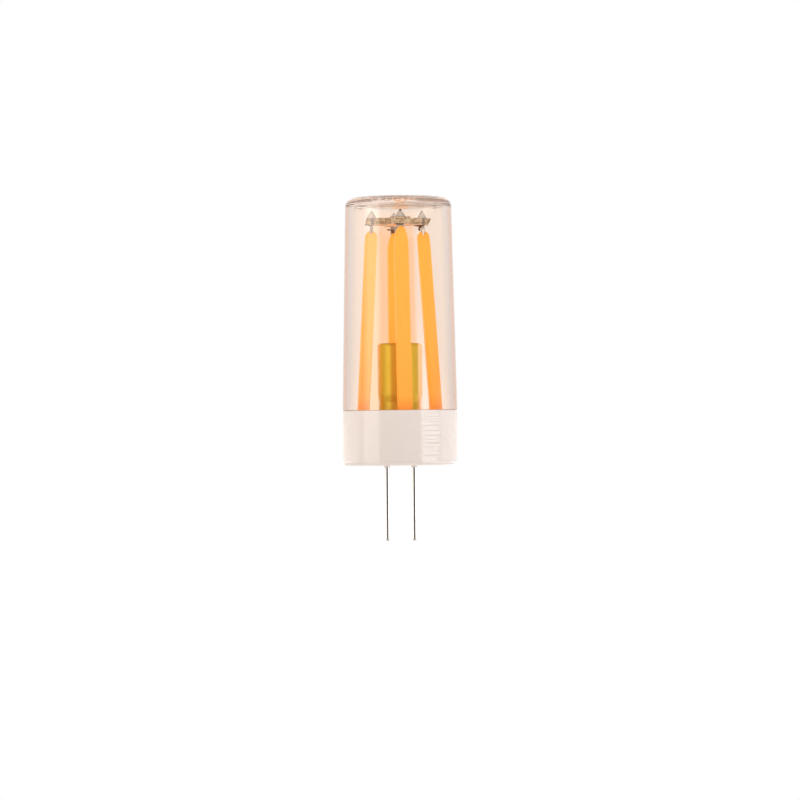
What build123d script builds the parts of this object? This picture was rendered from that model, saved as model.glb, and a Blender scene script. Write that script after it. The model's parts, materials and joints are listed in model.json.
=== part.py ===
from build123d import *
import os

os.makedirs("parts", exist_ok=True)

# Sizes are in millimetres. The origin is the middle of the base's seat face, between the two pins,
# with +Z up along the capsule and X along the line of the pins.

# Contact pins
pin_spacing = 4.0
pin_diameter = 0.7
pin_length = 11.2
pin_tip_radius = 0.25
shank_diameter = 0.9
pin_clearance = 0.03
collar_diameter = 1.4
collar_height = 0.35
collar_lip = 0.06

# Base cup
floor_thickness = 1.4
cavity_room = 3.0
cavity_edge_radius = 0.5
shoulder_width = 0.65
base_edge_radius = 0.45
edge_break = 0.06

# Clear cover
cover_wall = 1.1
cover_draft = 0.65
cover_top_thickness = 1.1
cover_top_radius = 1.1
cover_inner_radius = 0.3
spigot_length = 1.3
spigot_clearance = 0.05
well_diameter = 7.2
well_depth = 0.6
well_edge_radius = 0.15
gate_diameter = 1.6
gate_height = 0.4
gate_taper = 12

# Driver board and the parts under it
board_thickness = 1.0
board_clearance = 0.1
part_wall_gap = 0.6
rectifier_length = 4.0
rectifier_width = 3.0
rectifier_height = 1.4
rectifier_pitch = 2.5
chip_length = 2.9
chip_width = 1.6
chip_height = 1.1
chip_pitch = 0.95
foot_reach = 0.6
foot_width = 0.45
foot_thickness = 0.2
package_chamfer = 0.15
sense_length = 2.0
sense_width = 1.25
sense_height = 0.5
bleed_length = 3.2
bleed_width = 1.6
bleed_height = 0.55
cap_length = 0.4
cap_plating = 0.04

# Capacitor
capacitor_diameter = 6.6
capacitor_length = 11.2
sleeve_thickness = 0.12
sleeve_lip = 0.8
capacitor_shoulder = 0.5
groove_rise = 2.5
groove_half_height = 1.0
groove_depth = 0.18
groove_round = 0.9
bead_inset = 0.14
bung_wall = 0.35
bung_height = 2.0
vent_width = 0.25
vent_span = 3.6
vent_depth = 0.15
lead_spacing = 2.5
lead_diameter = 0.5
lead_tail = 1.2
lead_clearance = 0.1

# Filaments and the link board that joins their heads
filament_width = 2.0
filament_thickness = 1.75
filament_length = 27.6
filament_edge_radius = 0.42
filament_tip_length = 3.2
filament_brow_length = 1.3
filament_brow_room = 0.04
filament_foot_length = 1.0
filament_splay = 1.75
foot_gap = 0.3
head_gap = 0.8
front_lift = 0.5
capacitor_gap = 1.325
cover_gap = 1.025
strip_width = 1.0
strip_thickness = 0.4
strip_tail = 0.6
tab_reach = 0.8
tab_tip_width = 0.3
slot_clearance = 0.08
crown_turn = 7.5
crown_shift = -0.2
crown_clearance = 0.75
link_thickness = 1.0
link_arm_width = 2.8
link_overhang = 1.1
link_chamfer = 0.7
link_corner_radius = 0.4
solder_diameter = 1.5
solder_tip_diameter = 0.2
solder_height = 1.15

# Heights, stacked up from the seat face
board_bottom = floor_thickness + rectifier_height + cavity_room
board_top = board_bottom + board_thickness
base_height = board_top + spigot_length
capacitor_top = board_top + capacitor_length
link_bottom = board_top + foot_gap + filament_length + head_gap
link_top = link_bottom + link_thickness
cover_inner_top = link_top + solder_height + crown_clearance
cover_top = cover_inner_top + cover_top_thickness

# Radii, stacked outwards from the capacitor
sleeve_radius = capacitor_diameter / 2
can_radius = sleeve_radius - sleeve_thickness
foot_radius = sleeve_radius + capacitor_gap + filament_thickness / 2
head_radius = foot_radius - filament_splay
bore_radius = foot_radius + filament_thickness / 2 + cover_gap
base_radius = bore_radius + cover_wall
lap_wall = (cover_wall - spigot_clearance) / 2
rebate_radius = base_radius - lap_wall
spigot_radius = rebate_radius - spigot_clearance
board_radius = rebate_radius - board_clearance
cavity_radius = rebate_radius - shoulder_width
part_ring = cavity_radius - part_wall_gap - rectifier_width / 2 - foot_reach
pin_x = pin_spacing / 2
lead_y = lead_spacing / 2
slot_width = strip_width + 2 * slot_clearance
slot_thickness = strip_thickness + 2 * slot_clearance

# Each filament stands on a slanted line from the driver board to its tab hole in the link board.
# Its plane has the line as normal, and its x direction runs across the filament's flat face.
# The face plane and the edge plane hold the filament's outline as seen on its flat face and on its edge.
sides = ["right", "back", "left", "front"]
quarter = 360 / len(sides)
strip_planes = {}
face_planes = {}
edge_planes = {}
tab_points = {}
spans = {}
for index, side in enumerate(sides):
    turn = crown_turn + index * quarter
    outward = Vector(1, 0, 0).rotate(Axis.Z, turn)
    across = Vector(0, 1, 0).rotate(Axis.Z, turn)
    foot = outward * foot_radius + Vector(0, 0, board_top)
    head = outward * head_radius + Vector(crown_shift, 0, link_top)
    strip_plane = Plane(origin=foot, x_dir=across, z_dir=head - foot)
    face_normal = strip_plane.x_dir.cross(strip_plane.z_dir)
    strip_planes[side] = strip_plane
    face_planes[side] = Plane(origin=foot, x_dir=strip_plane.x_dir, z_dir=face_normal)
    edge_planes[side] = Plane(origin=foot, x_dir=face_normal, z_dir=face_normal.cross(strip_plane.z_dir))
    tab_points[side] = head
    spans[side] = (head - foot).length


# Base cup: floor, cavity, shoulder for the driver board and rebate for the cover's spigot
with BuildPart() as base_shell:
    with BuildSketch(Plane.XZ):
        with BuildLine():
            Polyline(
                (0, 0),
                (base_radius, 0),
                (base_radius, base_height),
                (rebate_radius, base_height),
                (rebate_radius, board_bottom),
                (cavity_radius, board_bottom),
                (cavity_radius, floor_thickness),
                (0, floor_thickness),
                close=True,
            )
        make_face()
    revolve(axis=Axis.Z)
    circles = base_shell.edges().filter_by(GeomType.CIRCLE).group_by(Axis.Z)
    fillet(circles[0], base_edge_radius)
    circles = base_shell.edges().filter_by(GeomType.CIRCLE).group_by(Axis.Z)
    chamfer(circles[-1].sort_by(SortBy.RADIUS)[-1], edge_break)
    cavity_corner = base_shell.edges().filter_by(GeomType.CIRCLE)
    fillet(cavity_corner.filter_by_position(Axis.Z, floor_thickness, floor_thickness), cavity_edge_radius)
    # A hollow-sided collar round each pin
    collar_tip_radius = pin_diameter / 2 + pin_clearance + collar_lip
    for x in (-pin_x, pin_x):
        with BuildSketch(Plane.XZ):
            with BuildLine():
                Polyline(
                    (x + collar_tip_radius, -collar_height),
                    (x, -collar_height),
                    (x, floor_thickness / 2),
                    (x + collar_diameter / 2, floor_thickness / 2),
                    (x + collar_diameter / 2, 0),
                )
                TangentArc(
                    (x + collar_diameter / 2, 0),
                    (x + collar_tip_radius, -collar_height),
                    tangent=(-1, 0),
                )
            make_face()
        revolve(axis=Axis((x, 0, 0), (0, 0, 1)))
    with BuildSketch(Plane.XY.offset(-collar_height)):
        with Locations((-pin_x, 0), (pin_x, 0)):
            Circle(pin_diameter / 2 + pin_clearance)
    extrude(amount=collar_height, mode=Mode.SUBTRACT)
    with BuildSketch(Plane.XY):
        with Locations((-pin_x, 0), (pin_x, 0)):
            Circle(shank_diameter / 2 + pin_clearance)
    extrude(amount=floor_thickness, mode=Mode.SUBTRACT)
base_shell.part.label = "base_shell"
export_step(base_shell.part, "parts/base_shell.step")


# Clear cover: drafted capsule with a flat top, a sunk gate well and a spigot for the base's rebate
with BuildPart() as clear_cover:
    with BuildSketch(Plane.XZ):
        with BuildLine():
            Polyline(
                (0, cover_top),
                (base_radius - cover_draft, cover_top),
                (base_radius, base_height),
                (spigot_radius, base_height),
                (spigot_radius, board_top),
                (bore_radius, board_top),
                (bore_radius, base_height),
                (bore_radius - cover_draft, cover_inner_top),
                (0, cover_inner_top),
                close=True,
            )
        make_face()
    revolve(axis=Axis.Z)
    circles = clear_cover.edges().filter_by(GeomType.CIRCLE).group_by(Axis.Z)
    fillet(circles[-1], cover_top_radius)
    circles = clear_cover.edges().filter_by(GeomType.CIRCLE)
    fillet(circles.filter_by_position(Axis.Z, cover_inner_top, cover_inner_top), cover_inner_radius)
    circles = clear_cover.edges().filter_by(GeomType.CIRCLE)
    seam = circles.filter_by_position(Axis.Z, base_height, base_height).sort_by(SortBy.RADIUS)[-1]
    chamfer(seam, edge_break)
    circles = clear_cover.edges().filter_by(GeomType.CIRCLE).group_by(Axis.Z)
    chamfer(circles[0].sort_by(SortBy.RADIUS)[-1], edge_break)
    with BuildSketch(Plane.XY.offset(cover_top)):
        Circle(well_diameter / 2)
    extrude(amount=-well_depth, mode=Mode.SUBTRACT)
    well_circles = clear_cover.edges().filter_by(GeomType.CIRCLE)
    fillet(well_circles.filter_by(lambda edge: edge.radius == well_diameter / 2), well_edge_radius)
    with BuildSketch(Plane.XY.offset(cover_top - well_depth)):
        Circle(gate_diameter / 2)
    extrude(amount=gate_height, taper=gate_taper)
clear_cover.part.label = "clear_cover"
export_step(clear_cover.part, "parts/clear_cover.step")


# Contact pins: bare length below the seat, thicker shank through the floor to the driver board
for side, x in (("left", -pin_x), ("right", pin_x)):
    with BuildPart() as contact_pin:
        with BuildSketch(Plane.XY.offset(-pin_length)):
            with Locations((x, 0)):
                Circle(pin_diameter / 2)
        extrude(amount=pin_length)
        with BuildSketch(Plane.XY):
            with Locations((x, 0)):
                Circle(shank_diameter / 2)
        extrude(amount=board_top)
        fillet(contact_pin.edges().sort_by(Axis.Z)[0], pin_tip_radius)
    contact_pin.part.label = f"contact_pin_{side}"
    export_step(contact_pin.part, f"parts/contact_pin_{side}.step")


# Driver board: round, with holes for the pins and leads and slanted slots for the filament strips
with BuildPart() as driver_board:
    with BuildSketch(Plane.XY.offset(board_bottom)):
        Circle(board_radius)
        with Locations((-pin_x, 0), (pin_x, 0)):
            Circle(shank_diameter / 2 + pin_clearance, mode=Mode.SUBTRACT)
        with Locations((0, -lead_y), (0, lead_y)):
            Circle(lead_diameter / 2 + lead_clearance, mode=Mode.SUBTRACT)
    extrude(amount=board_thickness)
    for strip_plane in strip_planes.values():
        with BuildSketch(strip_plane.offset(-2 * board_thickness)):
            Rectangle(slot_width, slot_thickness)
        extrude(amount=3 * board_thickness, mode=Mode.SUBTRACT)
driver_board.part.label = "driver_board"
export_step(driver_board.part, "parts/driver_board.step")


# Packaged parts hang under the driver board, one in each quarter between the filament strips
packages = [
    ("bridge_rectifier", 0, rectifier_length, rectifier_width, rectifier_height, rectifier_pitch, 2),
    ("driver_chip", 2, chip_length, chip_width, chip_height, chip_pitch, 3),
]
for name, index, length, width, height, pitch, feet in packages:
    turn = crown_turn + (index + 0.5) * quarter
    spot = Vector(part_ring, 0, board_bottom).rotate(Axis.Z, turn)
    under_board = Plane(origin=spot, x_dir=Vector(0, 1, 0).rotate(Axis.Z, turn), z_dir=(0, 0, -1))
    with BuildPart() as package:
        with BuildSketch(under_board):
            Rectangle(length, width)
        extrude(amount=height)
        chamfer(package.faces().sort_by(Axis.Z)[0].edges(), package_chamfer)
        with BuildSketch(under_board):
            with GridLocations(pitch, width + foot_reach, feet, 2):
                Rectangle(foot_width, foot_reach)
        extrude(amount=foot_thickness)
    package.part.label = name
    export_step(package.part, f"parts/{name}.step")


# Chip resistors with plated ends
resistors = [
    ("sense_resistor", 1, sense_length, sense_width, sense_height),
    ("bleed_resistor", 3, bleed_length, bleed_width, bleed_height),
]
for name, index, length, width, height in resistors:
    turn = crown_turn + (index + 0.5) * quarter
    spot = Vector(part_ring, 0, board_bottom).rotate(Axis.Z, turn)
    under_board = Plane(origin=spot, x_dir=Vector(0, 1, 0).rotate(Axis.Z, turn), z_dir=(0, 0, -1))
    with BuildPart() as resistor:
        with BuildSketch(under_board):
            Rectangle(length, width)
        extrude(amount=height)
        with BuildSketch(under_board):
            with GridLocations(length - cap_length, 0, 2, 1):
                Rectangle(cap_length, width + 2 * cap_plating)
        extrude(amount=height + cap_plating)
    resistor.part.label = name
    export_step(resistor.part, f"parts/{name}.step")


def can_section(radius, top, shoulder):
    # Half section of the capacitor's can: bottom bead, rolled groove, straight side, round shoulder
    groove_z = board_top + groove_rise
    with BuildSketch(Plane.XZ) as section:
        with BuildLine():
            Polyline(
                (0, board_top),
                (radius - bead_inset, board_top),
                (radius - bead_inset, groove_z - groove_half_height),
                (radius - groove_depth, groove_z),
                (radius, groove_z + groove_half_height),
                (radius, top),
                (0, top),
                close=True,
            )
        make_face()
        corners = section.vertices().filter_by(lambda corner: board_top < corner.Y < top)
        fillet(corners, groove_round)
        rim = section.vertices().group_by(Axis.Y)[-1].sort_by(Axis.X)[-1]
        fillet(rim, shoulder)
    return section.sketch


can_outline = can_section(can_radius, capacitor_top - sleeve_thickness, capacitor_shoulder - sleeve_thickness)
sleeve_outline = can_section(sleeve_radius, capacitor_top, capacitor_shoulder)
bung_radius = can_radius - groove_depth - bung_wall

# Capacitor can with a scored vent in its top and a pocket for the rubber bung
with BuildPart() as capacitor_can:
    revolve(can_outline, axis=Axis.Z)
    with BuildSketch(Plane.XY.offset(board_top)):
        Circle(bung_radius)
    extrude(amount=bung_height, mode=Mode.SUBTRACT)
    with BuildSketch(Plane.XY.offset(capacitor_top - sleeve_thickness)):
        Rectangle(vent_span, vent_width)
        Rectangle(vent_width, vent_span)
    extrude(amount=-vent_depth, mode=Mode.SUBTRACT)
capacitor_can.part.label = "capacitor_can"
export_step(capacitor_can.part, "parts/capacitor_can.step")

# Shrunk sleeve that follows the can and laps over its shoulder
with BuildPart() as capacitor_sleeve:
    revolve(sleeve_outline, axis=Axis.Z)
    revolve(can_outline, axis=Axis.Z, mode=Mode.SUBTRACT)
    with BuildSketch(Plane.XY.offset(capacitor_top)):
        Circle(can_radius - sleeve_lip)
    extrude(amount=-2 * sleeve_thickness, mode=Mode.SUBTRACT)
capacitor_sleeve.part.label = "capacitor_sleeve"
export_step(capacitor_sleeve.part, "parts/capacitor_sleeve.step")

with BuildPart() as capacitor_bung:
    with BuildSketch(Plane.XY.offset(board_top)):
        Circle(bung_radius)
        with Locations((0, -lead_y), (0, lead_y)):
            Circle(lead_diameter / 2, mode=Mode.SUBTRACT)
    extrude(amount=bung_height)
capacitor_bung.part.label = "capacitor_bung"
export_step(capacitor_bung.part, "parts/capacitor_bung.step")

for side, y in (("front", -lead_y), ("back", lead_y)):
    with BuildPart() as capacitor_lead:
        with BuildSketch(Plane.XY.offset(board_bottom - lead_tail)):
            with Locations((0, y)):
                Circle(lead_diameter / 2)
        extrude(amount=lead_tail + board_thickness + bung_height)
    capacitor_lead.part.label = f"capacitor_lead_{side}"
    export_step(capacitor_lead.part, f"parts/capacitor_lead_{side}.step")


# Link board: a cross with one arm over each filament
with BuildPart() as link_board:
    arm_length = head_radius + link_overhang
    link_plane = Plane(
        origin=(crown_shift, 0, link_bottom),
        x_dir=Vector(1, 0, 0).rotate(Axis.Z, crown_turn),
        z_dir=(0, 0, 1),
    )
    with BuildSketch(link_plane) as cross:
        Rectangle(2 * arm_length, link_arm_width)
        Rectangle(link_arm_width, 2 * arm_length)
        corners = cross.vertices().group_by(lambda corner: round(Vector(corner).length, 3))
        fillet(corners[0], link_corner_radius)
        corners = cross.vertices().group_by(lambda corner: round(Vector(corner).length, 3))
        chamfer(corners[-1], link_chamfer)
    extrude(amount=link_thickness)
    for side, strip_plane in strip_planes.items():
        with BuildSketch(strip_plane.offset(spans[side] - 2 * link_thickness)):
            Rectangle(slot_width, slot_thickness)
        extrude(amount=3 * link_thickness, mode=Mode.SUBTRACT)
link_board.part.label = "link_board"
export_step(link_board.part, "parts/link_board.step")


# Filaments: a metal strip with a tapered head tab, the jacket moulded round it and the solder over the tab
tip_roundness = (filament_width / 2) ** 2 / filament_tip_length
jacket_edge_radius = min(filament_edge_radius, 0.9 * tip_roundness)
for side in sides:
    strip_plane = strip_planes[side]
    face_plane = face_planes[side]
    edge_plane = edge_planes[side]
    span = spans[side]

    with BuildPart() as filament_strip:
        with BuildSketch(face_plane):
            with BuildLine():
                Polyline(
                    (-strip_width / 2, -board_thickness - strip_tail),
                    (strip_width / 2, -board_thickness - strip_tail),
                    (strip_width / 2, span),
                    (tab_tip_width / 2, span + tab_reach),
                    (-tab_tip_width / 2, span + tab_reach),
                    (-strip_width / 2, span),
                    close=True,
                )
            make_face()
        extrude(amount=strip_thickness / 2, both=True)
    filament_strip.part.label = f"filament_strip_{side}"
    export_step(filament_strip.part, f"parts/filament_strip_{side}.step")

    lift = front_lift if side == "front" else 0
    foot_end = foot_gap + lift
    head_end = foot_end + filament_length
    dome_start = foot_end + filament_foot_length
    tip_start = head_end - filament_tip_length
    brow_start = head_end - filament_brow_length
    brow_half = filament_thickness / 2 + filament_brow_room
    brow_rise = filament_brow_length + filament_brow_room
    with BuildPart() as filament_jacket:
        with BuildSketch(face_plane):
            with BuildLine():
                Line((filament_width / 2, dome_start), (filament_width / 2, tip_start))
                EllipticalCenterArc(
                    (0, tip_start), filament_width / 2, filament_tip_length, start_angle=0, arc_size=180
                )
                Line((-filament_width / 2, tip_start), (-filament_width / 2, dome_start))
                EllipticalCenterArc(
                    (0, dome_start), filament_width / 2, filament_foot_length, start_angle=180, arc_size=180
                )
            make_face()
        extrude(amount=filament_thickness / 2, both=True)
        fillet(filament_jacket.faces().filter_by(face_plane).edges(), jacket_edge_radius)
        # The tip is domed across its thickness too
        with BuildSketch(edge_plane):
            with BuildLine():
                Polyline((-brow_half, brow_start), (-brow_half, 0), (brow_half, 0), (brow_half, brow_start))
                EllipticalCenterArc((0, brow_start), brow_half, brow_rise, start_angle=0, arc_size=180)
            make_face()
        extrude(amount=filament_width, both=True, mode=Mode.INTERSECT)
        with BuildSketch(strip_plane):
            Rectangle(strip_width, strip_thickness)
        extrude(amount=span, mode=Mode.SUBTRACT)
    filament_jacket.part.label = f"filament_jacket_{side}"
    export_step(filament_jacket.part, f"parts/filament_jacket_{side}.step")

    with BuildPart() as link_solder:
        with BuildSketch(Plane(origin=tab_points[side], x_dir=(1, 0, 0), z_dir=(0, -1, 0))):
            with BuildLine():
                Polyline(
                    (0, 0),
                    (solder_diameter / 2, 0),
                    (solder_tip_diameter / 2, solder_height),
                    (0, solder_height),
                    close=True,
                )
            make_face()
        revolve(axis=Axis(tab_points[side], (0, 0, 1)))
        add(filament_strip.part, mode=Mode.SUBTRACT)
    link_solder.part.label = f"link_solder_{side}"
    export_step(link_solder.part, f"parts/link_solder_{side}.step")
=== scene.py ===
import bmesh
import bpy
import json
import math
from mathutils import Matrix, Vector, noise


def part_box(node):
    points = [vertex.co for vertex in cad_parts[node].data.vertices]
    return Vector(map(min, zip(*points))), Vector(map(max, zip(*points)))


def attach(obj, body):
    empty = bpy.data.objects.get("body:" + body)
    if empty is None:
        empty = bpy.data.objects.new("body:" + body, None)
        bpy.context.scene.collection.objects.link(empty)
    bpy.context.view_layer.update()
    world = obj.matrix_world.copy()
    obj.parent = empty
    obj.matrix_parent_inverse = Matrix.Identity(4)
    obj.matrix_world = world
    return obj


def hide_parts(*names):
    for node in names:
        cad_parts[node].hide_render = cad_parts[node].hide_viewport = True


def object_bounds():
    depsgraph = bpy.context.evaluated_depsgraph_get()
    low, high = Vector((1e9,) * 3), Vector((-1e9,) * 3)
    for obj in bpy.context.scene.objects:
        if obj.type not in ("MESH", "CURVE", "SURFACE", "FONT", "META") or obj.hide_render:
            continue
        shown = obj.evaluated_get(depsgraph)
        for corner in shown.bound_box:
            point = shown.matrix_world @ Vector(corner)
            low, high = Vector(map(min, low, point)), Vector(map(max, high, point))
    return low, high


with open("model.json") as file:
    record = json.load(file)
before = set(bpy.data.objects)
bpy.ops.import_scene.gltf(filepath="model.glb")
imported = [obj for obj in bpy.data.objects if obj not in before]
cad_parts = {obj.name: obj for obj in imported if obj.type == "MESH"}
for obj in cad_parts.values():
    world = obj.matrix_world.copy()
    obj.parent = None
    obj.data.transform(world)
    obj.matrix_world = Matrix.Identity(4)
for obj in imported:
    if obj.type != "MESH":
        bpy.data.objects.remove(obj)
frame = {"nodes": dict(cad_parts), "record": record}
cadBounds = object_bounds()
mm = 0.001
sides = ["right", "back", "left", "front"]
print("frame loaded,", len(frame["nodes"]), "nodes")


# Node trees

class Wire:
    # one value in a node tree: arithmetic on it adds Math nodes
    def __init__(self, graph, socket):
        self.graph = graph
        self.socket = socket

    def __add__(self, other):
        return self.graph.maths("ADD", self, other)

    def __sub__(self, other):
        return self.graph.maths("SUBTRACT", self, other)

    def __rsub__(self, other):
        return self.graph.maths("SUBTRACT", other, self)

    def __mul__(self, other):
        return self.graph.maths("MULTIPLY", self, other)

    def __pow__(self, other):
        return self.graph.maths("POWER", self, other)

    __radd__ = __add__
    __rmul__ = __mul__


class Graph:
    def __init__(self, tree):
        self.tree = tree
        tree.nodes.clear()

    # any node: its type, its settings, then its sockets' values or links
    def add(self, kind, settings=None, inputs=None, output=0):
        node = self.tree.nodes.new("ShaderNode" + kind)
        for name, value in (settings or {}).items():
            setattr(node, name, value)
        for name, value in (inputs or {}).items():
            if isinstance(value, Wire):
                self.tree.links.new(value.socket, node.inputs[name])
            elif hasattr(value, "__len__") and node.inputs[name].type == "RGBA":
                node.inputs[name].default_value = (*value, 1.0)
            else:
                node.inputs[name].default_value = value
        return Wire(self, node.outputs[output]) if node.outputs else None

    def maths(self, operation, first, second=0.0):
        return self.add("Math", {"operation": operation}, {0: first, 1: second})

    def mix(self, factor, first, second):
        return self.add("Mix", {"data_type": "RGBA"}, {0: factor, 6: first, 7: second}, 2)

    # 0 below low, 1 above high, smooth between
    def rise(self, value, low, high):
        limits = {"Value": value, "From Min": low, "From Max": high}
        return self.add("MapRange", {"interpolation_type": "SMOOTHSTEP"}, limits)

    # the same, centred on one place
    def step(self, value, place, soft):
        return self.rise(value, place - soft, place + soft)

    # 1 between low and high
    def window(self, value, low, high, soft):
        return self.step(value, low, soft) * (1 - self.step(value, high, soft))

    # 1 on the front of a piece, 0 behind
    def front(self, y):
        return 1 - self.rise(y, -1.0, 0.0)

    def blend(self, factor, first, second):
        return factor * (second - first) + first

    def reach(self, x, y):
        return (x * x + y * y) ** 0.5

    def place(self):
        return self.add("TexCoord", output="Object")

    def axes(self, vector):
        split = self.add("SeparateXYZ", {}, {"Vector": vector})
        return [Wire(self, socket) for socket in split.socket.node.outputs]

    # object coordinates, or another vector in their place, in millimetres
    def measures(self, vector=None):
        return [axis * (1 / mm) for axis in self.axes(vector or self.place())]

    # noise whose grain is given in millimetres along each axis
    def grain(self, size, detail=2.0):
        scale = [1 / (length * mm) for length in size]
        spread = self.add("Mapping", {}, {"Vector": self.place(), "Scale": scale})
        return self.add("TexNoise", {}, {"Vector": spread, "Scale": 1.0, "Detail": detail})

    def bump(self, height, depth):
        return self.add("Bump", {}, {"Height": height, "Distance": depth * mm, "Strength": 1.0})

    def surface(self, inputs):
        shader = self.add("BsdfPrincipled", {}, inputs)
        self.add("OutputMaterial", {}, {"Surface": shader})


def newMaterial(name):
    material = bpy.data.materials.new(name)
    material.use_nodes = True
    return material, Graph(material.node_tree)


# Finishes

# light leaks through the thin wall of the rebate, so its inside glows a little
basePlastic = {
    "shade": (0.735, 0.64, 0.585), "pale": (0.77, 0.675, 0.62), "blotchSize": (3.0, 3.0, 3.0),
    # foot: painted shade, a darker colour over the bottom round
    "foot": (0.695, 0.605, 0.553), "shadedFootFrom": 0.1, "shadedFootTo": 0.8,
    "seam": (0.70, 0.47, 0.35), "seamFrom": 8.0,
    "ringSize": (5.0, 5.0, 0.26), "ringDepth": 0.02, "ringFrom": 3.3, "ringTo": 5.8, "ringElsewhere": 0.15,
    "leak": (0.62, 0.47, 0.38), "leakRadius": 8.3, "leakFloor": 5.0,
    "roughness": 0.03, "blotchRoughness": 0.03, "ior": 1.5,
}


def whitePlastic():
    look = basePlastic
    material, graph = newMaterial("whitePlastic")
    blotch = graph.grain(look["blotchSize"])
    x, y, z = graph.measures()
    # flow marks, deepest on the right of the front
    deep = graph.window(x, look["ringFrom"], look["ringTo"], 0.4) * graph.front(y)
    rings = graph.grain(look["ringSize"], detail=0.0) * graph.blend(deep, look["ringElsewhere"], 1.0)
    inside = 1 - graph.rise(graph.reach(x, y), look["leakRadius"] - 0.1, look["leakRadius"])
    inside = inside * graph.rise(z, look["leakFloor"], look["leakFloor"] + 0.2)
    seam = graph.rise(z, look["seamFrom"], look["seamFrom"] + 0.04)
    body = graph.mix(blotch, look["shade"], look["pale"])
    # painted shade: darker towards the bottom round
    body = graph.mix(graph.rise(z, look["shadedFootFrom"], look["shadedFootTo"]), look["foot"], body)
    graph.surface({
        "Base Color": graph.mix(seam, body, look["seam"]),
        "Roughness": look["roughness"] + look["blotchRoughness"] * blotch,
        "IOR": look["ior"],
        "Emission Color": graph.mix(inside, (0, 0, 0), look["leak"]),
        "Emission Strength": 1.0,
        "Normal": graph.bump(rings, look["ringDepth"]),
    })
    return material


# the thick top and the rim look darker, because light runs further through the plastic there
coverPlastic = {
    "tint": (1.0, 0.90, 0.82), "roughness": 0.006, "ior": 1.5,
    "rimTint": (0.70, 0.34, 0.21), "rimFrom": 0.42, "rimTo": 0.78, "rimRadius": 7.6,
    "sideLow": (0.89, 0.745, 0.67), "sideHigh": (0.97, 0.84, 0.76), "sideFrom": 0.16, "sideTo": 0.36,
    "lowHeight": 9.0, "highHeight": 34.0,
    "topTint": (0.305, 0.19, 0.143), "middleTint": (0.74, 0.56, 0.465), "middleFrom": 0.05, "middleTo": 0.16,
    "topFrom": 38.5, "wellRadius": 3.85,
    "hazeFrom": 38.12, "hazeTo": 38.24, "hazeRadius": 7.3, "hazeRoughness": 0.25,
    "hazeAlpha": 0.5, "ceilingAlpha": 0.4,
    "edgeGlow": (0.24, 0.185, 0.155), "edgeFrom": 38.9, "edgeTo": 39.1, "edgeRadius": 6.3,
    "ceilingGlow": (0.42, 0.37, 0.33), "glowFrom": 3.4, "glowTo": 4.4,
    "glint": (0.24, 0.23, 0.22), "glintSize": (0.5, 0.5, 0.35), "glintFrom": 0.5, "glintTo": 0.58,
    "glintLeft": -3.9, "glintRight": 2.8,
    "speck": (0.25, 0.21, 0.18), "speckSpacing": 2.2, "speckRadius": 0.07,
    "flowSize": (1.2, 1.2, 14.0), "flowRoughness": 0.006, "flowDepth": 0.0004,
}


def clearPlastic():
    look = coverPlastic
    material, graph = newMaterial("clearPlastic")
    x, y, height = graph.measures()
    radius = graph.reach(x, y)
    facing = graph.add("LayerWeight", {}, {"Blend": 0.5}, "Facing")
    outer = graph.step(radius, look["rimRadius"], 0.1)
    side = graph.rise(facing, look["sideFrom"], look["sideTo"]) * outer
    rim = graph.rise(facing, look["rimFrom"], look["rimTo"]) * outer
    lift = graph.rise(height, look["lowHeight"], look["highHeight"])
    tint = graph.mix(side, look["tint"], graph.mix(lift, look["sideLow"], look["sideHigh"]))
    tint = graph.mix(rim, tint, look["rimTint"])
    # the top's upper face round the well, and the flat faces that are a little hazy
    above = graph.rise(height, look["topFrom"], look["topFrom"] + 0.05)
    outside = graph.step(radius, look["wellRadius"], 0.1)
    slab = graph.rise(facing, look["middleFrom"], look["middleTo"])
    slab = graph.mix(slab, look["middleTint"], look["topTint"])
    tint = graph.mix(above * outside, tint, slab)
    edge = graph.step(radius, look["hazeRadius"], 0.1)
    flat = graph.rise(height, look["hazeFrom"], look["hazeTo"]) * (1 - edge)
    haze = flat * (1 - above * (1 - outside))
    # guided light leaves by the top's outer round and the ceiling's sides, and glints in front
    outward = 1 - graph.add("NewGeometry", output="Backfacing")
    brow = graph.step(radius, look["edgeRadius"], 0.2) * graph.rise(height, look["edgeFrom"], look["edgeTo"])
    glow = graph.mix(brow * outward, (0, 0, 0), look["edgeGlow"])
    sideways = graph.rise(graph.maths("ABSOLUTE", x), look["glowFrom"], look["glowTo"])
    glow = graph.mix(flat * (1 - above) * outward * sideways, glow, look["ceilingGlow"])
    # painted glints: bright emitted flecks on the front of the top, round the well
    glint = graph.rise(graph.grain(look["glintSize"]), look["glintFrom"], look["glintTo"]) * above * edge
    glint = glint * graph.window(x, look["glintLeft"], look["glintRight"], 0.3) * graph.front(y)
    glow = graph.mix(glint, glow, look["glint"])
    cells = {"Vector": graph.place(), "Scale": 1 / (look["speckSpacing"] * mm)}
    spread = graph.add("TexVoronoi", {}, cells, "Distance")
    speck = 1 - graph.rise(spread * look["speckSpacing"], look["speckRadius"] * 0.6, look["speckRadius"])
    flow = graph.grain(look["flowSize"])
    polished = look["roughness"] + look["flowRoughness"] * flow
    graph.surface({
        "Base Color": graph.mix(speck, tint, look["speck"]),
        "Roughness": graph.blend(haze, polished, look["hazeRoughness"]),
        "IOR": look["ior"],
        "Transmission Weight": 1.0,
        "Alpha": graph.blend(haze, 1.0, graph.blend(above, look["ceilingAlpha"], look["hazeAlpha"])),
        "Emission Color": glow,
        "Emission Strength": 1.0,
        "Normal": graph.bump(flow, look["flowDepth"]),
    })
    return material


jacketSilicone = {
    "foot": (1.0, 0.31, 0.035), "low": (1.0, 0.44, 0.055), "high": (1.0, 0.465, 0.065),
    "footHeight": 7.6, "lowHeight": 10.5, "highHeight": 20.0, "glow": 0.5, "roughness": 0.36,
    "cloudSize": (0.35, 0.35, 0.9), "cloudShare": 0.2, "cloudRoughness": 0.1, "cloudDepth": 0.01,
}


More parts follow.
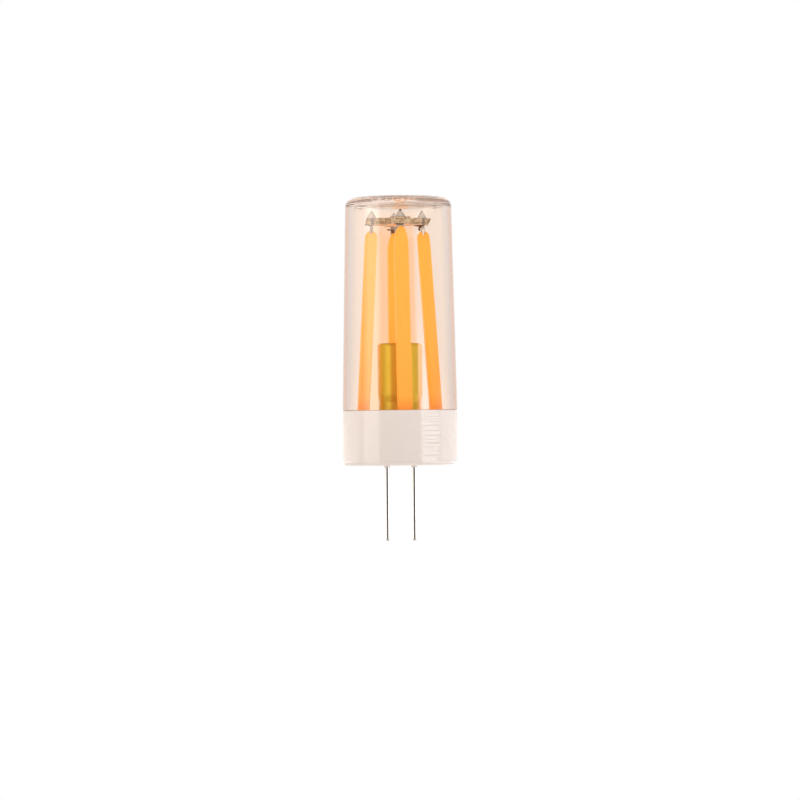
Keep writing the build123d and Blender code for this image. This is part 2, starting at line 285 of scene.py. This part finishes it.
def yellowSilicone():
    look = jacketSilicone
    material, graph = newMaterial("yellowSilicone")
    height = graph.measures()[2]
    lower = graph.mix(graph.rise(height, look["footHeight"], look["lowHeight"]), look["foot"], look["low"])
    colour = graph.mix(graph.rise(height, look["lowHeight"], look["highHeight"]), lower, look["high"])
    cloud = graph.grain(look["cloudSize"], detail=3.0)
    colour = graph.mix(cloud * look["cloudShare"], colour, look["low"])
    # painted glow: the jackets emit their own colour, so they look evenly bright though they are no lamp
    graph.surface({
        "Base Color": colour,
        "Roughness": look["roughness"] + look["cloudRoughness"] * cloud,
        "Emission Color": colour,
        "Emission Strength": look["glow"],
        "Normal": graph.bump(cloud, look["cloudDepth"]),
    })
    return material


# a deeper stripe of painted shade runs down the sleeve's front, and a paler stripe of painted highlight down
# its right side
sleeveFilm = {
    "colour": (0.87, 0.67, 0.05), "deep": (0.74, 0.53, 0.016), "metal": 0.3, "roughness": 0.28,
    "shadeStripe": (0.72, 0.385, 0.001), "shadeStripeFrom": -1.3, "shadeStripeTo": 1.2,
    "highlightBand": (1.0, 0.92, 0.66), "sheen": (0.28, 0.20, 0.13), "highlightFrom": 2.5, "highlightTo": 3.0, "highlightEnd": -0.4,
    "streakSize": (0.2, 0.2, 5.0), "streakRoughness": 0.08, "streakDepth": 0.002,
}


def goldFilm():
    look = sleeveFilm
    material, graph = newMaterial("goldFilm")
    streak = graph.grain(look["streakSize"])
    gold = graph.mix(streak, look["deep"], look["colour"])
    x, y, z = graph.measures()
    # painted shade: a deeper stripe down the front, beside the front filament
    shadeStripe = graph.window(x, look["shadeStripeFrom"], look["shadeStripeTo"], 0.2) * (1 - graph.step(y, 0.0, 0.2))
    gold = graph.mix(shadeStripe, gold, look["shadeStripe"])
    # painted highlight: a paler stripe down the right side, which also glows
    highlightBand = graph.rise(x, look["highlightFrom"], look["highlightTo"])
    highlightBand = highlightBand * (1 - graph.rise(y, look["highlightEnd"] - 0.2, look["highlightEnd"]))
    graph.surface({
        "Base Color": graph.mix(highlightBand, gold, look["highlightBand"]),
        "Metallic": look["metal"],
        "Roughness": look["roughness"] + look["streakRoughness"] * streak,
        "Emission Color": graph.mix(highlightBand, (0, 0, 0), look["sheen"]),
        "Emission Strength": 1.0,
        "Normal": graph.bump(streak, look["streakDepth"]),
    })
    return material


# bare metals: colour, roughness, grain in millimetres and depth of the grain
metals = {
    "pinWire": ((0.62, 0.59, 0.56), 0.1, (0.15, 0.15, 3.0), 0.001),
    "leadWire": ((0.78, 0.76, 0.73), 0.2, (0.1, 0.1, 2.0), 0.002),
    "stripMetal": ((0.46, 0.44, 0.42), 0.18, (0.2, 0.2, 0.6), 0.004),
    "solder": ((0.97, 0.95, 0.92), 0.24, (0.35, 0.35, 0.3), 0.03),
    "canAluminium": ((0.86, 0.86, 0.85), 0.3, (0.08, 1.5, 0.3), 0.002),
    "tinLeaf": ((0.95, 0.94, 0.92), 0.1, (0.2, 0.2, 0.2), 0.002),
}
metalWear = {"darkening": (0.05, 0.047, 0.045), "dullShare": 0.9, "scuffRoughness": 0.08}


def bareMetal(name):
    colour, roughness, size, depth = metals[name]
    material, graph = newMaterial(name)
    scuff = graph.grain(size, detail=3.0)
    dull = [metalWear["dullShare"] * part for part in colour]
    # solder cones carry painted shade down their flanks and darker tips, in an attribute of their own
    darkening = graph.add("Attribute", {"attribute_name": "darkening"}, output="Fac")
    graph.surface({
        "Base Color": graph.mix(darkening, graph.mix(scuff, dull, colour), metalWear["darkening"]),
        "Metallic": 1.0,
        "Roughness": roughness + metalWear["scuffRoughness"] * scuff,
        "Normal": graph.bump(scuff, depth),
    })
    return material


# glass-fibre boards: layer height, yarn width and the pad's radius round each filament are in millimetres
laminates = {
    "linkLaminate": {
        "resin": (0.46, 0.33, 0.19), "fibre": (0.95, 0.84, 0.65), "under": (1.0, 0.80, 0.66),
        "layer": 0.15, "yarn": 0.16, "shift": -0.2, "padPlace": 3.75, "padRadius": 1.0,
        "top": 36.5, "bottom": 35.5,
    },
    "boardLaminate": {
        "resin": (0.56, 0.52, 0.40), "fibre": (0.70, 0.66, 0.54), "under": (0.60, 0.56, 0.44),
        "layer": 0.18, "yarn": 0.3, "shift": 0.0, "padPlace": 5.5, "padRadius": 1.0,
        "top": 6.8, "bottom": 5.8,
    },
}
boardWeave = {
    "layerLength": 1.6, "yarnHeight": 0.5, "layerShare": 0.55, "fibreFrom": 0.38, "fibreTo": 0.62,
    "roughness": 0.45, "fibreRoughness": 0.25, "depth": 0.04,
}
padMetal = {
    "colour": (0.66, 0.62, 0.57), "edge": (0.30, 0.27, 0.25), "roughness": 0.3,
    "skin": 0.03, "edgeHalf": 0.2, "edgeFrom": 1.2,
}
crownTurn = 7.5  # degrees


def wovenLaminate(name):
    look = laminates[name]
    material, graph = newMaterial(name)
    length, yarn, share = boardWeave["layerLength"], look["yarn"], boardWeave["layerShare"]
    layers = graph.grain((length, length, look["layer"]), detail=3.0)
    yarns = graph.grain((yarn, yarn, boardWeave["yarnHeight"]), detail=3.0)
    weave = graph.rise(layers * share + yarns * (1 - share), boardWeave["fibreFrom"], boardWeave["fibreTo"])
    # the four filament places lie at the same distance along the crown's own axes
    turned = graph.add("Mapping", {"vector_type": "TEXTURE"}, {
        "Vector": graph.place(), "Location": (look["shift"] * mm, 0, 0),
        "Rotation": (0, 0, math.radians(crownTurn)),
    })
    along, across, height = graph.measures(turned)
    along, across = graph.maths("ABSOLUTE", along), graph.maths("ABSOLUTE", across)
    far, near = graph.maths("MAXIMUM", along, across), graph.maths("MINIMUM", along, across)
    offset = far - look["padPlace"]
    skin = 1 - graph.window(height, look["bottom"] + padMetal["skin"], look["top"] - padMetal["skin"], 0.01)
    pad = 1 - graph.rise(graph.reach(offset, near), look["padRadius"] - 0.05, look["padRadius"])
    pad = pad * skin
    patch = graph.window(offset, -padMetal["edgeHalf"], padMetal["edgeHalf"], 0.05)
    patch = patch * graph.rise(near, padMetal["edgeFrom"], padMetal["edgeFrom"] + 0.05)
    # the underside has its own colour: on the link board a pale peach, which is painted light from below
    under = 1 - graph.rise(height, look["bottom"] + 0.02, look["bottom"] + 0.06)
    colour = graph.mix(under, graph.mix(weave, look["resin"], look["fibre"]), look["under"])
    colour = graph.mix(patch, graph.mix(pad, colour, padMetal["colour"]), padMetal["edge"])
    pad = graph.maths("MAXIMUM", pad * (1 - under), patch)
    rough = boardWeave["roughness"] + boardWeave["fibreRoughness"] * weave
    graph.surface({
        "Base Color": colour,
        "Metallic": pad,
        "Roughness": graph.blend(pad, rough, padMetal["roughness"]),
        "Normal": graph.bump(weave * (1 - pad), boardWeave["depth"]),
    })
    return material


# moulded and fired parts: dark, pale, roughness and grain in millimetres
solids = {
    "packageResin": ((0.012, 0.012, 0.013), (0.028, 0.028, 0.03), 0.5, 0.12),
    "bungRubber": ((0.010, 0.010, 0.010), (0.022, 0.021, 0.02), 0.7, 0.2),
    "chipCeramic": ((0.60, 0.60, 0.58), (0.80, 0.80, 0.78), 0.4, 0.15),
    "fluxAndShadeResin": ((0.05, 0.022, 0.008), (0.36, 0.19, 0.08), 0.3, 0.3),
}


def speckledSolid(name):
    dark, pale, roughness, size = solids[name]
    material, graph = newMaterial(name)
    speck = graph.grain((size, size, size), detail=4.0)
    graph.surface({
        "Base Color": graph.mix(speck, dark, pale),
        "Roughness": roughness + 0.15 * speck,
        "Normal": graph.bump(speck, 0.01),
    })
    return material


finishes = {
    "white_plastic": whitePlastic(),
    "clear_plastic": clearPlastic(),
    "yellow_silicone": yellowSilicone(),
    "gold_film": goldFilm(),
    "pin_wire": bareMetal("pinWire"),
    "lead_wire": bareMetal("leadWire"),
    "strip_metal": bareMetal("stripMetal"),
    "solder": bareMetal("solder"),
    "can_aluminium": bareMetal("canAluminium"),
    "tin_leaf": bareMetal("tinLeaf"),
    "link_laminate": wovenLaminate("linkLaminate"),
    "board_laminate": wovenLaminate("boardLaminate"),
    "package_resin": speckledSolid("packageResin"),
    "bung_rubber": speckledSolid("bungRubber"),
    "chip_ceramic": speckledSolid("chipCeramic"),
    "flux": speckledSolid("fluxAndShadeResin"),
}
for part in frame["record"]["subparts"]:
    node = frame["nodes"][part["node"]]
    node.data.materials.clear()
    node.data.materials.append(finishes[part["material_slot"]])
print("finishes made,", len(finishes), "materials")


# Pieces

def keepPiece(shape, name, slot, nodes=(), sharpAngle=30, finish=None):
    bmesh.ops.remove_doubles(shape, verts=shape.verts, dist=0.0005 * mm)
    bmesh.ops.recalc_face_normals(shape, faces=shape.faces)
    mesh = bpy.data.meshes.new(name)
    shape.to_mesh(mesh)
    shape.free()
    mesh.shade_smooth()
    mesh.set_sharp_from_angle(angle=math.radians(sharpAngle))
    mesh.materials.append(finishes[finish or slot])
    piece = bpy.data.objects.new(name, mesh)
    bpy.context.scene.collection.objects.link(piece)
    piece.modifiers.new("evenNormals", "WEIGHTED_NORMAL").keep_sharp = True
    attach(piece, "root")
    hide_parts(*nodes)
    return piece


coverSizes = {
    "wall": 1.1, "draft": 0.65, "topThickness": 1.1, "topRadius": 1.1, "innerRadius": 0.3,
    "spigotWall": 0.525, "seamEdge": 0.05, "edgeSegments": 10, "steps": 256,
    "wellRadius": 3.6, "wellDepth": 0.6, "wellEdge": 0.15, "ripple": 0.22, "rippleLength": 0.7,
    "gateRadius": 0.8, "gateTip": 0.715, "gateHeight": 0.4, "gateBreak": 0.5,
}


def clearCover():
    sizes = coverSizes
    low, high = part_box("clear_cover")
    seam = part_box("base_shell")[1].z / mm
    foot, top, outer = low.z / mm, high.z / mm, high.x / mm
    bore = outer - sizes["wall"]
    innerTop = top - sizes["topThickness"]
    wellFloor = top - sizes["wellDepth"]
    spigot = bore + sizes["spigotWall"]
    # half section from the axis outwards and back: radius, height, corner radius
    section = [
        (0, wellFloor + sizes["gateHeight"], 0),
        (sizes["gateTip"], wellFloor + sizes["gateHeight"], 0),
        (sizes["gateRadius"], wellFloor, 0),
        (sizes["wellRadius"], wellFloor, sizes["wellEdge"]),
        (sizes["wellRadius"], top, sizes["wellEdge"]),
        (outer - sizes["draft"], top, sizes["topRadius"]),
        (outer, seam, sizes["seamEdge"]),
        (spigot, seam, 0),
        (spigot, foot, sizes["seamEdge"]),
        (bore, foot, 0),
        (bore, seam, 0),
        (bore - sizes["draft"], innerTop, sizes["innerRadius"]),
        (0, innerTop, 0),
    ]
    shape = bmesh.new()
    corners = [shape.verts.new((radius * mm, 0, height * mm)) for radius, height, edge in section]
    for first, second in zip(corners, corners[1:]):
        shape.edges.new((first, second))
    for corner, (radius, height, edge) in zip(corners, section):
        if edge:
            bmesh.ops.bevel(shape, geom=[corner], offset=edge * mm, offset_type="OFFSET",
                            segments=sizes["edgeSegments"], profile=0.5, affect="VERTICES", material=-1)
    bmesh.ops.spin(shape, geom=shape.verts[:] + shape.edges[:], cent=(0, 0, 0), axis=(0, 0, 1),
                   angle=math.tau, steps=sizes["steps"], use_merge=True)
    # the well's wall is rippled and the gate is broken off unevenly
    for vert in shape.verts:
        spot = vert.co / mm
        radius = math.hypot(spot.x, spot.y)
        wave = noise.noise(Vector((spot.x, spot.y, 0)) / sizes["rippleLength"])
        inWell = sizes["gateRadius"] + 0.1 < radius < sizes["wellRadius"] + 0.2 and spot.z > wellFloor - 0.01
        onGate = 0.1 < radius < sizes["gateRadius"] and spot.z > wellFloor + 0.1
        if inWell:
            share = 1 + wave * sizes["ripple"] / radius
            vert.co.x, vert.co.y = vert.co.x * share, vert.co.y * share
        elif onGate:
            vert.co.z += min(0, wave - 0.2) * sizes["gateBreak"] * sizes["gateHeight"] * mm
    return keepPiece(shape, "coverShell", "clear_plastic", ["clear_cover"])


clearCover()
print("cover turned")


# lengths in millimetres: a wedge pulls in an arm's end at its top, or at its bottom where it is negative
linkSizes = {
    "shift": -0.2, "armWidth": 2.8, "reach": 4.85, "chamfer": 0.7, "slotPlace": 3.75, "slotWidth": 1.16,
    "slotThickness": 0.56, "cuts": 7, "plies": 6, "fray": 0.09, "frayLength": 0.3, "plyHeight": 0.13,
    "wedges": {"right": -0.65, "left": 0.35}, "stretch": {"right": 0.5, "left": 0.05},
    "burr": 0.14, "burrReach": 0.7, "burrAcross": 1.25, "burrOut": 4.5,
}


def pick(geometry, kind):
    return [item for item in geometry if isinstance(item, kind)]


def linkBoard():
    sizes = linkSizes
    low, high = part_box("link_board")
    thickness = high.z - low.z
    half = sizes["armWidth"] / 2
    shape = bmesh.new()
    bmesh.ops.create_grid(shape, x_segments=1, y_segments=1, size=half * mm)
    for edge in shape.edges[:]:
        outward = (edge.verts[0].co + edge.verts[1].co).normalized()
        across = Vector((-outward.y, outward.x, 0))
        # the arm, with a slot opened in it
        arm = bmesh.ops.extrude_edge_only(shape, edges=[edge])["geom"]
        ends = pick(arm, bmesh.types.BMVert)
        bmesh.ops.translate(shape, verts=ends, vec=outward * (sizes["reach"] - sizes["chamfer"] - half) * mm)
        tipEdge = next(item for item in pick(arm, bmesh.types.BMEdge) if set(item.verts) == set(ends))
        face = pick(arm, bmesh.types.BMFace)[0]
        middle = face.calc_center_median()
        bmesh.ops.inset_individual(shape, faces=[face], thickness=0.2 * mm)
        for corner in face.verts:
            out = math.copysign(sizes["slotThickness"] / 2, (corner.co - middle).dot(outward))
            side = math.copysign(sizes["slotWidth"] / 2, (corner.co - middle).dot(across))
            corner.co = (outward * (sizes["slotPlace"] + out) + across * side) * mm
        bmesh.ops.delete(shape, geom=[face], context="FACES_ONLY")
        # the chamfered tip
        tip = bmesh.ops.extrude_edge_only(shape, edges=[tipEdge])["geom"]
        for corner in pick(tip, bmesh.types.BMVert):
            corner.co += (outward - across * math.copysign(1, corner.co.dot(across))) * sizes["chamfer"] * mm
    bmesh.ops.subdivide_edges(shape, edges=shape.edges[:], cuts=sizes["cuts"], use_grid_fill=True)
    raised = bmesh.ops.extrude_face_region(shape, geom=shape.faces[:])["geom"]
    bmesh.ops.translate(shape, verts=pick(raised, bmesh.types.BMVert), vec=(0, 0, thickness))
    walls = [edge for edge in shape.edges if abs(edge.verts[0].co.z - edge.verts[1].co.z) > thickness / 2]
    bmesh.ops.subdivide_edges(shape, edges=walls, cuts=sizes["plies"], use_grid_fill=True)
    bmesh.ops.recalc_face_normals(shape, faces=shape.faces)
    shape.normal_update()
    # routed edges: frayed yarns, uneven ends and a burr at the front tip
    for vert in shape.verts:
        out = Vector((vert.normal.x, vert.normal.y, 0))
        rise = vert.co.z / thickness
        spot = vert.co / mm
        if out.length > 0.3:
            length = sizes["frayLength"]
            yarn = Vector((spot.x / length, spot.y / length, spot.z / sizes["plyHeight"]))
            vert.co += out.normalized() * noise.noise(yarn) * sizes["fray"] * mm
        for side, pull in sizes["wedges"].items():
            sign = 1 if side == "right" else -1
            past = max(0, sign * spot.x - (sizes["reach"] - sizes["chamfer"])) / sizes["chamfer"]
            cut = abs(pull) * (rise if pull > 0 else 1 - rise)
            vert.co.x += sign * past * (sizes["stretch"][side] - cut) * mm
        away = (spot - Vector((sizes["burrAcross"], -sizes["burrOut"], spot.z))).length / sizes["burrReach"]
        vert.co.z += max(0, 1 - away) ** 2 * rise * sizes["burr"] * mm
    turn = Matrix.Rotation(math.radians(crownTurn), 4, "Z")
    place = Matrix.Translation((sizes["shift"] * mm, 0, low.z))
    bmesh.ops.transform(shape, matrix=place @ turn, verts=shape.verts)
    return keepPiece(shape, "linkBoard", "link_laminate", ["link_board"])


# darkening: how dark each cone's tip and its right and left flanks are; the flanks' darkness is painted
# shade, and the tips are simply darker
solderSizes = {
    "tipRadius": 0.08, "segments": 48, "rings": 11, "swell": 0.12, "swellLength": 0.55, "foot": 0.08,
    "darkening": {
        "front": (1.0, 1.0, 0.35), "right": (0.3, 0.3, 0.2),
        "left": (0.2, 0.12, 0.12), "back": (0.1, 0.1, 0.1),
    },
    "tipFrom": 0.72, "tipTo": 0.84, "flankAngle": 80.0, "flankHalf": 34.0,
}


def solderCone(side):
    sizes = solderSizes
    low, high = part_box("link_solder_" + side)
    centre, height, radius = (low + high) / 2, high.z - low.z, (high.x - low.x) / 2
    shape = bmesh.new()
    bmesh.ops.create_cone(shape, cap_ends=True, segments=sizes["segments"], radius1=radius,
                          radius2=sizes["tipRadius"] * mm, depth=height, matrix=Matrix.Translation(centre))
    flanks = [edge for edge in shape.edges if abs(edge.verts[0].co.z - edge.verts[1].co.z) > height / 2]
    bmesh.ops.subdivide_edges(shape, edges=flanks, cuts=sizes["rings"], use_grid_fill=True)
    darkness = shape.verts.layers.float.new("darkening")
    tip, right, left = sizes["darkening"][side]
    for vert in shape.verts:
        out = Vector((vert.co.x - centre.x, vert.co.y - centre.y, 0))
        rise = (vert.co.z - low.z) / height
        # angle round the cone from its front, positive to the right
        angle = math.degrees(math.atan2(out.x, -out.y))
        # painted shade along the flanks, and a darker tip
        flank = max(0, 1 - abs(abs(angle) - sizes["flankAngle"]) / sizes["flankHalf"])
        crest = min(1, max(0, (rise - sizes["tipFrom"]) / (sizes["tipTo"] - sizes["tipFrom"])))
        vert[darkness] = max(flank * (right if angle > 0 else left), crest * tip)
        swell = noise.noise(vert.co / (sizes["swellLength"] * mm)) * sizes["swell"]
        foot = sizes["foot"] * (1 - rise) ** 6
        vert.co += out * (swell + foot)
    return keepPiece(shape, "solder" + side.capitalize(), "solder", ["link_solder_" + side], sharpAngle=60)


# burnt flux under the link board and down the strips, and under the front arm a dark crumb put where there
# is shade, which is painted shade as well, in millimetres: each crumb's middle and half lengths
fluxAndShadeSizes = {
    "crumbs": [
        # under the front arm: flux, and painted shade where the board shades the strip
        ((0.12, -3.98, 35.46), (0.58, 0.30, 0.14)),
        ((2.75, 0.30, 35.44), (0.26, 0.30, 0.14)), ((3.22, 0.22, 35.30), (0.22, 0.30, 0.26)),
        ((3.12, 0.25, 34.86), (0.16, 0.22, 0.20)), ((3.62, 0.20, 35.40), (0.20, 0.24, 0.15)),
        ((-1.45, 3.45, 35.06), (0.28, 0.18, 0.10)), ((-0.95, 3.40, 35.00), (0.30, 0.20, 0.13)),
        ((-0.80, 3.42, 34.72), (0.17, 0.18, 0.22)),
    ],
    "swell": 0.7, "swellLength": 0.16,
}


def fluxAndShadeCrumbs():
    sizes = fluxAndShadeSizes
    shape = bmesh.new()
    for middle, halves in sizes["crumbs"]:
        place = Matrix.LocRotScale(Vector(middle) * mm, None, Vector(halves) * mm)
        ball = bmesh.ops.create_icosphere(shape, subdivisions=3, radius=1.0, matrix=place)["verts"]
        for vert in ball:
            out = vert.co - Vector(middle) * mm
            vert.co += out * noise.noise(vert.co / (sizes["swellLength"] * mm)) * sizes["swell"]
    return keepPiece(shape, "fluxAndShadeCrumbs", "solder", sharpAngle=60, finish="flux")


# a bright leaf of tin folded down the right filament's tip, in millimetres: points down its middle, and its
# width at each
leafSizes = {
    "points": [(3.60, -0.06, 35.20), (3.66, -0.15, 34.80), (3.68, -0.20, 34.45), (3.67, -0.25, 33.95)],
    "widths": [0.22, 0.36, 0.34, 0.08], "thickness": 0.04,
}


def tinLeaf():
    sizes = leafSizes
    shape = bmesh.new()
    rows = []
    for point, width in zip(sizes["points"], sizes["widths"]):
        middle = Vector(point) * mm
        side = Vector((width / 2 * mm, 0, 0))
        rows.append([shape.verts.new(middle - side), shape.verts.new(middle + side)])
    for upper, lower in zip(rows, rows[1:]):
        shape.faces.new((upper[0], lower[0], lower[1], upper[1]))
    bmesh.ops.subdivide_edges(shape, edges=shape.edges[:], cuts=3, use_grid_fill=True, smooth=0.5)
    bmesh.ops.solidify(shape, geom=shape.faces[:], thickness=sizes["thickness"] * mm)
    return keepPiece(shape, "tinLeaf", "solder", finish="tin_leaf")


linkBoard()
for side in sides:
    solderCone(side)
fluxAndShadeCrumbs()
tinLeaf()
print("link board cut, solder and flux set")


# Studio

# fades out round the object, and shows from above only
floorSizes = {
    "radius": 70.0, "fadeFrom": 20.0, "steps": 96, "cloudSize": (60, 60, 60),
    "shade": (0.78, 0.78, 0.78), "pale": (0.82, 0.82, 0.82), "roughness": 0.9, "glow": 0.5,
}


def floorFinish():
    look = floorSizes
    material, graph = newMaterial("paleFloor")
    cloud = graph.grain(look["cloudSize"])
    x, y, z = graph.measures()
    below = graph.add("NewGeometry", output="Backfacing")
    graph.surface({
        "Base Color": graph.mix(cloud, look["shade"], look["pale"]),
        "Roughness": look["roughness"],
        "Alpha": (1 - graph.rise(graph.reach(x, y), look["fadeFrom"], look["radius"])) * (1 - below),
        "Emission Color": (1.0, 1.0, 1.0),
        "Emission Strength": look["glow"],
    })
    return material


def paleFloor():
    shape = bmesh.new()
    bmesh.ops.create_circle(shape, cap_ends=True, segments=floorSizes["steps"],
                            radius=floorSizes["radius"] * mm)
    bmesh.ops.translate(shape, verts=shape.verts, vec=(0, 0, cadBounds[0].z))
    mesh = bpy.data.meshes.new("paleFloor")
    shape.to_mesh(mesh)
    shape.free()
    mesh.materials.append(floorFinish())
    floor = bpy.data.objects.new("paleFloor", mesh)
    bpy.context.scene.collection.objects.link(floor)
    floor.visible_glossy = False


# angles in degrees: azimuth 0 is the camera's side and 90 the right, elevation 0 is level, and behind counts
# from straight behind the object, positive to the right
studio = {
    "side": 1.15, "leftGain": 0.25, "warm": (1.0, 0.96, 0.92), "cool": (0.98, 0.99, 1.0),
    "dome": 0.7, "domeFrom": 14.0, "domeTo": 34.0, "horizonHalf": 16.0,
    "lowGain": 0.9, "lowFrom": -0.5, "lowTo": -0.8, "deep": 0.85, "deepFrom": -6.0,
    "under": 2.0, "underFrom": -18.0,
    "frontHalf": 42.0, "frontWide": 98.0, "wideFrom": 1.6, "wideTo": 2.8,
    "frontLevel": 0.1, "frontLow": -6.0, "frontTop": 8.0,
    "leftFrom": -76.0, "leftTo": -46.0, "leftLevel": 2.3,
    "rightFrom": 42.0, "rightTo": 77.0, "rightSlope": 8.0, "rightTop": 2.2, "rightLevel": 3.35,
    "throughLevel": 2.3, "straightTop": 1.08, "gaps": [(-95.0, -79.0, 0.75), (74.0, 91.0, 0.3)],
    "backFrom": 88.0, "backTo": 104.0, "backdrop": 1.02, "wing": 0.86, "wingFrom": 6.0, "wingTo": 36.0,
    "glow": (1.1, 0.80, 0.59), "glowFrom": -4.9, "glowTo": 2.3, "glowTop": 4.1,
    "patch": 1.16, "patchFrom": 2.5, "patchTo": 6.0, "patchTop": 1.9,
}


def studioWorld():
    world = bpy.data.worlds.new("studio")
    bpy.context.scene.world = world
    world.use_nodes = True
    graph = Graph(world.node_tree)
    x, y, z = graph.axes(graph.add("TexCoord", output="Generated"))
    azimuth = graph.maths("ARCTAN2", x, 0 - y) * math.degrees(1)
    elevation = graph.maths("ARCSINE", z) * math.degrees(1)
    turned = graph.maths("ABSOLUTE", azimuth)
    behind = (180.0 - turned) * graph.maths("SIGN", azimuth)
    level = graph.window(elevation, -studio["horizonHalf"], studio["horizonHalf"], 8.0)
    # what the light has met on its way: faces of the cover, a mirror, a matt surface
    crossed = graph.add("LightPath", output="Transmission Depth")
    through = graph.step(crossed, 1.0, 0.5)
    rightThrough = graph.step(crossed, 3.0, 0.5)
    mirrored = graph.step(graph.add("LightPath", output="Glossy Depth"), 0.5, 0.3)
    scattered = graph.step(graph.add("LightPath", output="Diffuse Depth"), 0.5, 0.3)
    # dark room in front, a soft box on either side
    frontEnd = graph.rise(elevation, studio["wideFrom"], studio["wideTo"])
    frontEnd = graph.blend(frontEnd, studio["frontHalf"], studio["frontWide"])
    front = graph.step(azimuth, -studio["frontHalf"], 1.2) * graph.step(frontEnd - azimuth, 0.0, 1.2)
    front = front * graph.window(elevation, studio["frontLow"], studio["frontTop"], 1.0)
    front = front * (1 - rightThrough)
    left = graph.window(azimuth, studio["leftFrom"], studio["leftTo"], 2.0) * level
    rightEnd = studio["rightTo"] - elevation * studio["rightSlope"]
    right = graph.step(azimuth, studio["rightFrom"], 1.0) * graph.step(rightEnd - azimuth, 0.0, 2.0)
    right = right * graph.window(elevation, -studio["horizonHalf"], studio["rightTop"], 1.0)
    # brighter just under the horizon, which only the pins mirror, and plain further down
    sideLight = studio["side"] * (1 + studio["leftGain"] * graph.rise(0 - x, 0.2, 0.9))
    low = (1 - graph.rise(elevation, studio["lowTo"], studio["lowFrom"])) * (1 - through)
    deep = 1 - graph.step(elevation, studio["deepFrom"], 1.0)
    under = (1 - graph.step(elevation, studio["underFrom"], 2.0)) * (1 - mirrored)
    sideLight = graph.blend(deep, sideLight * (1 + studio["lowGain"] * low), studio["deep"])
    sideLight = graph.blend(under, sideLight, studio["under"])
    light = graph.blend(front, sideLight, studio["frontLevel"])
    for start, end, strength in studio["gaps"]:
        light = graph.blend(graph.window(azimuth, start, end, 1.5) * level, light, strength)
    # seen through the cover, the soft boxes are weaker
    for box, strength in [(left, studio["leftLevel"]), (right, studio["rightLevel"])]:
        light = graph.blend(box, light, graph.blend(through, strength, studio["throughLevel"]))
    # backdrop, with the warm patch that shows between the filaments and a bright one beside it
    back = graph.rise(turned, studio["backFrom"], studio["backTo"]) * graph.rise(elevation, 0.1, 0.6)
    wing = graph.rise(180.0 - turned, studio["wingFrom"], studio["wingTo"])
    backdrop = graph.blend(wing, studio["backdrop"], studio["wing"])
    patch = graph.window(behind, studio["patchFrom"], studio["patchTo"], 0.5)
    patch = patch * (1 - graph.step(elevation, studio["patchTop"], 0.8))
    light = graph.blend(back, light, graph.blend(patch, backdrop, studio["patch"]))
    dome = graph.rise(elevation, studio["domeFrom"], studio["domeTo"])
    light = light * graph.blend(dome, 1.0, studio["dome"])
    # seen right through the whole cover, the brightest places are held back
    straight = rightThrough * (1 - mirrored) * (1 - scattered)
    light = graph.blend(straight, light, graph.maths("MINIMUM", light, studio["straightTop"]))
    colour = graph.mix(graph.rise(x, -0.7, 0.7), studio["warm"], studio["cool"])
    colour = graph.mix(back, colour, (1.0, 1.0, 1.0))
    glow = graph.window(behind, studio["glowFrom"], studio["glowTo"], 0.5) * graph.rise(turned, 160.0, 170.0)
    glow = glow * (1 - graph.step(elevation, studio["glowTop"], 0.3))
    colour = graph.mix(glow, colour, studio["glow"])
    # the camera itself sees plain white
    seen = graph.add("LightPath", output="Is Camera Ray")
    lit = graph.add("Background", {}, {"Color": colour, "Strength": light})
    blank = graph.add("Background", {}, {"Color": (1, 1, 1), "Strength": 1.0})
    shader = graph.add("MixShader", {}, {0: seen, 1: lit, 2: blank})
    graph.add("OutputWorld", {}, {"Surface": shader})


# the photograph's frame: pixels per millimetre at the axis, and the axis height at the picture's middle
camera = {
    "distance": 450.0, "eyeHeight": 4.0, "aimHeight": 9.63, "scale": 6.75, "roll": 0.55, "frame": 800,
}


def photoCamera():
    data = bpy.data.cameras.new("photoCamera")
    data.sensor_width = 36.0
    data.lens = data.sensor_width * camera["scale"] * camera["distance"] / camera["frame"]
    data.clip_start, data.clip_end = 0.01, 10.0
    eye = Vector((0, -camera["distance"], camera["eyeHeight"])) * mm
    aim = Vector((0, 0, camera["aimHeight"])) * mm
    seat = bpy.data.objects.new("photoCamera", data)
    bpy.context.scene.collection.objects.link(seat)
    turn = (aim - eye).to_track_quat("-Z", "Y").to_matrix().to_4x4()
    roll = Matrix.Rotation(math.radians(-camera["roll"]), 4, "Z")
    seat.matrix_world = Matrix.Translation(eye) @ turn @ roll
    bpy.context.scene.camera = seat


paleFloor()
studioWorld()
photoCamera()
bpy.context.scene.view_settings.view_transform = "Standard"
print("studio set")
